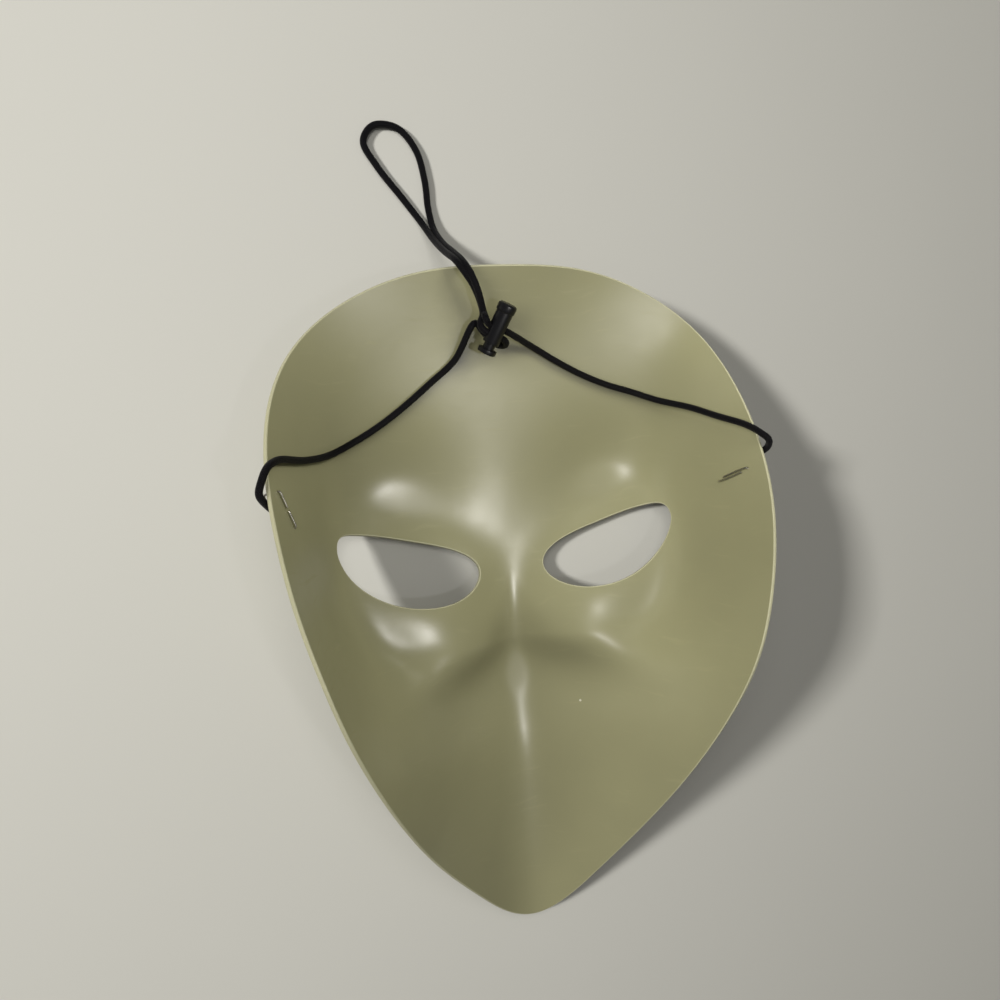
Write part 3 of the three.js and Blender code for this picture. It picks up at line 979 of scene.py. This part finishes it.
def scaled(colour, share):
    """A colour darker or lighter than one given."""
    return (*(channel * share for channel in colour[:3]), 1)


def tone_or_painted_shade(tree, factor, colour, tones):
    """A colour between a dark and a light tone of itself."""
    dark, light = (scaled(colour, tones[end]) for end in ("dark", "light"))
    return mixed(tree, factor, dark, light)


def noise(tree, where, scale, detail):
    """The outputs of a noise texture."""
    return add(tree, "ShaderNodeTexNoise", {"Vector": where, "Scale": scale, "Detail": detail})


def moulded_group():
    """Moulded plastic: orange peel, handling smudges and fine scuffs."""
    name = "Moulded surface"
    if name in bpy.data.node_groups:
        return bpy.data.node_groups[name]
    inputs = [("Peel scale", 260.0), ("Smudge scale", 22.0), ("Scuff scale", 55.0)]
    tree, given, out = new_group(name, inputs, ["Peel", "Smudge", "Scuff"])
    peel, smudge, scuff = given.outputs[:3]
    where = add(tree, "ShaderNodeTexCoord")["Object"]
    broad = noise(tree, where, smudge, 3.0)
    waver = {0: broad["Color"], 1: SCUFF_WAVER, 2: where}
    bent = add(tree, "ShaderNodeVectorMath", waver, operation="MULTIPLY_ADD")[0]
    scuffs = []
    for turn in SCUFF_TURNS:
        lay = {"Vector": bent, "Rotation": (0, 0, turn), "Scale": SCUFF_STRETCH}
        laid = add(tree, "ShaderNodeMapping", lay)[0]
        scuffs.append(ranged(tree, noise(tree, laid, scuff, 4.0)[0], low=0.62, high=0.76))
    masks = {
        "Peel": noise(tree, where, peel, 2.0)[0],
        "Smudge": ranged(tree, broad[0], low=0.32, high=0.7),
        "Scuff": math_node(tree, "MAXIMUM", *scuffs),
    }
    feed(tree, out, masks)
    return tree


def speck_group():
    """Sparse specks of pale dust."""
    name = "Specks"
    if name in bpy.data.node_groups:
        return bpy.data.node_groups[name]
    inputs = [("Scale", 90.0), ("Size", 0.05), ("Share", 0.1)]
    tree, given, out = new_group(name, inputs, ["Mask"])
    scale, size, share = given.outputs[:3]
    where = add(tree, "ShaderNodeTexCoord")["Object"]
    cell = add(tree, "ShaderNodeTexVoronoi", {"Vector": where, "Scale": scale})
    near = math_node(tree, "LESS_THAN", cell["Distance"], size)
    drawn = add(tree, "ShaderNodeSeparateColor", {"Color": cell["Color"]})[0]
    some = math_node(tree, "LESS_THAN", drawn, share)
    feed(tree, out, {"Mask": math_node(tree, "MULTIPLY", near, some)})
    return tree


def new_material(name):
    """A material, its nodes and its shader."""
    material = bpy.data.materials.new(name)
    material.use_nodes = True
    tree = material.node_tree
    return material, tree, tree.nodes["Principled BSDF"]


def plastic_material(name, colour, roughness, peel, dust):
    """Moulded plastic with smudges in its gloss, fine scuffs, orange peel and a little dust."""
    material, tree, shader = new_material(name)
    surface = add(tree, "ShaderNodeGroup", node_tree=moulded_group())
    specks = add(tree, "ShaderNodeGroup", {"Share": dust}, node_tree=speck_group())[0]
    clean, smudged = scaled(colour, CLEAN["tone"]), scaled(colour, SMUDGED["tone"])
    tone = mixed(tree, surface["Smudge"], clean, smudged)
    worn = math_node(tree, "MULTIPLY", surface["Scuff"], SCUFFED["shows"])
    tone = mixed(tree, worn, tone, scaled(colour, SCUFFED["tone"]))
    dusty = math_node(tree, "MULTIPLY", specks, DUST["shows"])
    tone = mixed(tree, dusty, tone, DUST["colour"])
    low, high = roughness + CLEAN["dull"], roughness + SMUDGED["dull"]
    dull = ranged(tree, surface["Smudge"], 0.0, 1.0, low, high)
    dull = math_node(tree, "MULTIPLY_ADD", surface["Scuff"], SCUFFED["dull"], dull)
    dull = math_node(tree, "MULTIPLY_ADD", specks, DUST["dull"], dull, clamp=True)
    relief = {"Height": surface["Peel"], "Strength": 0.35, "Distance": peel}
    bump = add(tree, "ShaderNodeBump", relief)[0]
    feed(tree, shader, {"Base Color": tone, "Roughness": dull, "Normal": bump, "IOR": 1.49})
    return material


def braid_material(settings):
    """Braided cover: two sets of yarns wound opposite ways, going over and under, with painted
    shade in its grooves and painted highlights on its crowns.
    """
    material, tree, shader = new_material("Braided elastic")
    uv = add(tree, "ShaderNodeUVMap", uv_map="Along")[0]
    round_it, along, _ = add(tree, "ShaderNodeSeparateXYZ", {0: uv})
    turns = math_node(tree, "DIVIDE", along, settings.lay_length)
    ridges = []
    for hand in (1.0, -1.0):
        phase = math_node(tree, "MULTIPLY_ADD", turns, hand, round_it)
        wave = math_node(tree, "MULTIPLY", phase, 2 * math.pi * settings.carriers)
        ridges.append(math_node(tree, "SINE", wave))
    height = ranged(tree, math_node(tree, "MAXIMUM", *ridges), YARN["groove"], 1.0)
    where = add(tree, "ShaderNodeTexCoord")["Object"]
    fuzz = noise(tree, where, 2600.0, 3.0)[0]
    height = math_node(tree, "MULTIPLY_ADD", fuzz, YARN["fuzz"], height)
    relief = {"Height": height, "Strength": 0.7, "Distance": YARN["depth"]}
    # Painted shade and highlight: the colour darkens in the grooves and lightens on the yarns'
    # crowns.
    painted_yarn_light = ranged(tree, height, low=0.2, high=1.2)
    finish = {
        "Base Color": tone_or_painted_shade(tree, painted_yarn_light, settings.colour, YARN),
        "Roughness": 0.62,
        "Sheen Weight": 0.05,
        "Sheen Roughness": 0.4,
        "Specular IOR Level": 0.2,
        "Normal": add(tree, "ShaderNodeBump", relief)[0],
    }
    feed(tree, shader, finish)
    return material


def steel_material(settings):
    """Plated wire with drawn streaks."""
    material, tree, shader = new_material("Staple wire")
    uv = add(tree, "ShaderNodeUVMap", uv_map="Along")[0]
    laid = add(tree, "ShaderNodeMapping", {"Vector": uv, "Scale": WIRE["stretch"]})[0]
    streaks = noise(tree, laid, 3.0, 2.0)[0]
    finish = {
        "Base Color": tone_or_painted_shade(tree, streaks, settings.steel, WIRE),
        "Roughness": ranged(tree, streaks, low=0.3, high=0.7, to_low=0.25, to_high=0.42),
        "Metallic": 1.0,
    }
    feed(tree, shader, finish)
    return material


def table_material(settings):
    """A pale top with a faint mottle."""
    material, tree, shader = new_material("Pale table")
    where = add(tree, "ShaderNodeTexCoord")["Object"]
    tone = tone_or_painted_shade(tree, noise(tree, where, 6.0, 3.0)[0], settings.floor, TABLE)
    feed(tree, shader, {"Base Color": tone, "Roughness": 0.6})
    return material


# Operators, one for each piece or group of like pieces.
class MASK_OT_shell(bpy.types.Operator):
    """Build the fine mesh of the moulded shell"""

    bl_idname = "mask.build_shell"
    bl_label = "Shell"

    def execute(self, context):
        settings = context.scene.theatre_mask.shell
        finish = {"roughness": settings.roughness, **PLASTIC}
        plastic = plastic_material("Moulded plastic", settings.plastic, **finish)
        edge = plastic_material("Trimmed edge", settings.cut_edge, **TRIMMED)
        points, normals, faces, slots = shell_mesh(settings)
        shell = new_object("moulded_shell", points, faces, [plastic, edge], slots)
        if len(shell.data.vertices) != len(normals):
            raise RuntimeError("the shell's mesh lost points")
        shell.data.normals_split_custom_set_from_vertices([tuple(n) for n in normals])
        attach(shell, "root")
        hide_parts("mask_shell")
        for group in bpy.data.collections:
            if group.name.startswith(LIT_ALONE):
                group.objects.link(shell)
            if group.name.startswith(NOT_LIT):
                group.objects.link(shell)
                group.collection_objects[0].light_linking.link_state = "EXCLUDE"
        return {"FINISHED"}


class MASK_OT_cord(bpy.types.Operator):
    """Build the braided elastic along its route"""

    bl_idname = "mask.build_cord"
    bl_label = "Elastic"

    def execute(self, context):
        route = fine_route(cord_points, CORD_MESH)
        material = braid_material(context.scene.theatre_mask.cord)
        cord = tube("braided_elastic", route, CORD_RADIUS, CORD_MESH, material)
        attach(cord, "root")
        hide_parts("elastic_cord")
        return {"FINISHED"}


class MASK_OT_lock(bpy.types.Operator):
    """Build the cord lock's barrel and its sprung button"""

    bl_idname = "mask.build_lock"
    bl_label = "Cord lock"

    def execute(self, context):
        colour = context.scene.theatre_mask.hardware.lock
        plastic = plastic_material("Lock plastic", colour, **LOCK_PLASTIC)
        frame_of_lock = np.eye(4)
        frame_of_lock[:3] = np.stack([lock_through, lock_axis, lock_up, lock_hole], axis=-1)
        pieces = (
            ("lock_barrel", "cord_lock_barrel", barrel_profile()),
            ("lock_plunger", "cord_lock_plunger", plunger_profile()),
        )
        for name, node, profile in pieces:
            piece = lathe(name, profile, plastic)
            cut_slot(piece)
            piece.data.transform(Matrix(frame_of_lock))
            piece.data.set_sharp_from_angle(angle=SHARP)
            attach(piece, "root")
            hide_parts(node)
        return {"FINISHED"}


class MASK_OT_staples(bpy.types.Operator):
    """Build the two bent staples"""

    bl_idname = "mask.build_staples"
    bl_label = "Staples"

    def execute(self, context):
        steel = steel_material(context.scene.theatre_mask.hardware)
        for side, where in (("left", STAPLE_LEFT), ("right", STAPLE_RIGHT)):
            route = fine_route(staple_points(where), WIRE_MESH)
            staple = tube(f"wire_staple_{side}", route, STAPLE["wire"], WIRE_MESH, steel)
            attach(staple, "root")
            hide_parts(f"staple_{side}")
        return {"FINISHED"}


class MASK_OT_stage(bpy.types.Operator):
    """Set the table, the camera and the studio light"""

    bl_idname = "mask.build_stage"
    bl_label = "Stage"

    def execute(self, context):
        settings = context.scene.theatre_mask.stage
        scene = context.scene
        half = TABLE["half"]
        corners = [(-half, -half, 0), (half, -half, 0), (half, half, 0), (-half, half, 0)]
        table = new_object("table", corners, [(0, 1, 2, 3)], [table_material(settings)])

        camera = bpy.data.cameras.new("Camera")
        camera.lens = CAMERA_LENS
        camera.sensor_width = SENSOR
        camera.clip_start = NEAREST
        seat = bpy.data.objects.new("Camera", camera)
        seat.location = CAMERA_PLACE
        seat.rotation_euler = Euler([math.radians(a) for a in CAMERA_TURN])
        scene.collection.objects.link(seat)
        scene.camera = seat

        scene.view_settings.view_transform = "Standard"
        lamps = {}
        for name, (where, size, colour) in LAMPS.items():
            power = getattr(settings, name.lower())
            lamps[name] = add_light(name, where, size, power, colour)
            lamps[name].visible_glossy = name == "Top"
        lamps["Top"].visible_diffuse = False
        lamps["Key"].light_linking.receiver_collection = bpy.data.collections.new(NOT_LIT)
        for name in ("Side", "Inner"):
            lamps[name].light_linking.receiver_collection = bpy.data.collections.new(LIT_ALONE)
        world = bpy.data.worlds.new("Room")
        world.use_nodes = True
        background = world.node_tree.nodes["Background"]
        feed(world.node_tree, background, {"Color": ROOM_COLOUR, "Strength": settings.fill})
        scene.world = world
        return {"FINISHED"}


def add_light(name, where, size, power, colour):
    """A square lamp at a place, turned to the middle of the mask."""
    light = bpy.data.lights.new(name, "AREA")
    light.shape = "SQUARE"
    light.size = size
    light.energy = power
    light.color = colour
    lamp = bpy.data.objects.new(name, light)
    lamp.location = where
    lamp.rotation_euler = Vector(where).to_track_quat("Z", "Y").to_euler()
    bpy.context.scene.collection.objects.link(lamp)
    return lamp


class MASK_PT_panel(bpy.types.Panel):
    """Buttons and settings for the mask"""

    bl_label = "Theatre mask"
    bl_idname = "MASK_PT_panel"
    bl_space_type = "VIEW_3D"
    bl_region_type = "UI"
    bl_category = "Mask"

    def draw(self, context):
        settings = context.scene.theatre_mask
        for operator in OPERATORS:
            self.layout.operator(operator.bl_idname)
        for group in (settings.shell, settings.cord, settings.hardware, settings.stage):
            box = self.layout.box()
            for name in group.__annotations__:
                box.prop(group, name)


OPERATORS = (MASK_OT_stage, MASK_OT_lock, MASK_OT_cord, MASK_OT_staples, MASK_OT_shell)
GROUPS = (ShellSettings, CordSettings, HardwareSettings, StageSettings, MaskSettings)
CLASSES = GROUPS + OPERATORS + (MASK_PT_panel,)


def register():
    for made in CLASSES:
        bpy.utils.register_class(made)
    bpy.types.Scene.theatre_mask = bpy.props.PointerProperty(type=MaskSettings)


def unregister():
    del bpy.types.Scene.theatre_mask
    for made in reversed(CLASSES):
        bpy.utils.unregister_class(made)


def main():
    register()
    bpy.ops.mask.build_stage()
    bpy.ops.mask.build_lock()
    bpy.ops.mask.build_cord()
    bpy.ops.mask.build_staples()
    bpy.ops.mask.build_shell()


if __name__ == "__main__":
    main()
